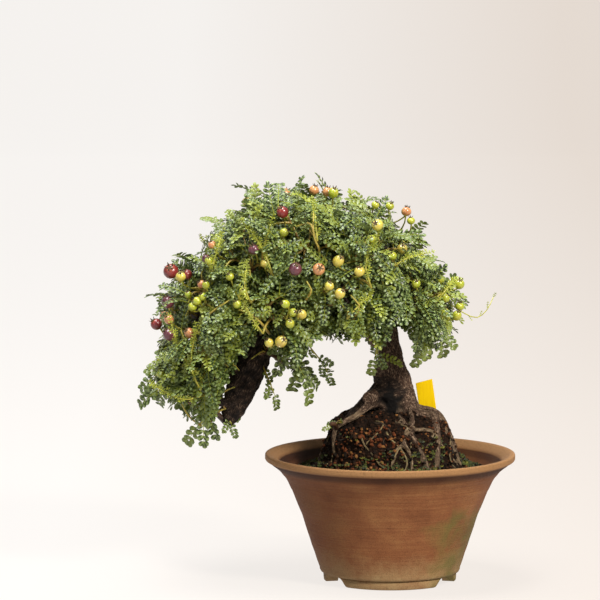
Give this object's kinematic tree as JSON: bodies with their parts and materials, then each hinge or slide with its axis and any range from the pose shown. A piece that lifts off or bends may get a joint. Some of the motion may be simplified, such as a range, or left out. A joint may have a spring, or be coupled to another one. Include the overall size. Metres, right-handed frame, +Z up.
{
  "type": "japanese pepper bonsai",
  "caption": "Potted bonsai with a trunk arched into a cascade, pinnate leaves and small crowned pomes, in a flared three-footed stoneware pot.",
  "frame": {"origin": "middle of the whole tree's footprint, on the surface that the pot's feet stand on", "axes": "+Z up, +X towards the side where the trunk stands, away from the cascade, -Y towards the front with one foot of the pot"},
  "size_m": [0.2594, 0.17, 0.2728],
  "materials": {
    "stoneware": "unglazed brown stoneware, brushed level while wet, with a dull fired sheen",
    "net": "black plastic drain net",
    "soil": "dark clay grains with rust-brown ones among them, damp, with moss in places",
    "bark": "dark brown bark, flaking in tan and grey",
    "leaf": "dark green glossy leaflets with paler undersides, on yellow-green rachises",
    "label": "plain yellow plastic tag",
    "red_berry": "smooth waxy skin, ripe red",
    "orange_berry": "smooth waxy skin, ripening orange",
    "yellow_berry": "smooth waxy skin, turning yellow",
    "lime_berry": "smooth waxy skin, unripe lime green",
    "purple_berry": "smooth waxy skin, fully ripe purple"
  },
  "bodies": {
    "root": {"pot": "stoneware", "drain_mesh": "net", "soil": "soil", "trunk": "bark", "plant_label": "label", "spray_01": "leaf", "spray_02": "leaf", "spray_03": "leaf", "spray_04": "leaf", "spray_05": "leaf", "spray_06": "leaf", "spray_07": "leaf", "spray_08": "leaf", "spray_09": "leaf", "spray_10": "leaf", "spray_11": "leaf", "spray_12": "leaf", "spray_13": "leaf", "spray_14": "leaf", "spray_15": "leaf", "spray_16": "leaf", "spray_17": "leaf", "spray_18": "leaf", "spray_19": "leaf", "spray_20": "leaf", "spray_21": "leaf", "spray_22": "leaf", "spray_23": "leaf", "spray_24": "leaf", "spray_25": "leaf", "spray_26": "leaf", "spray_27": "leaf", "spray_28": "leaf", "spray_29": "leaf", "spray_30": "leaf", "berries_01": "red_berry", "berries_02": "purple_berry", "berries_03": "purple_berry", "berries_04": "orange_berry", "berries_05": "red_berry", "berries_06": "purple_berry", "berries_07": "lime_berry", "berries_08": "lime_berry", "berries_09": "red_berry", "berries_10": "purple_berry", "berries_11": "orange_berry", "berries_12": "lime_berry", "berries_13": "yellow_berry", "berries_14": "yellow_berry", "berries_15": "yellow_berry", "berries_16": "yellow_berry", "berries_17": "lime_berry", "berries_18": "lime_berry", "berries_19": "lime_berry", "berries_20": "yellow_berry", "berries_21": "red_berry", "berries_22": "yellow_berry", "berries_23": "lime_berry"}
  },
  "joints": []
}
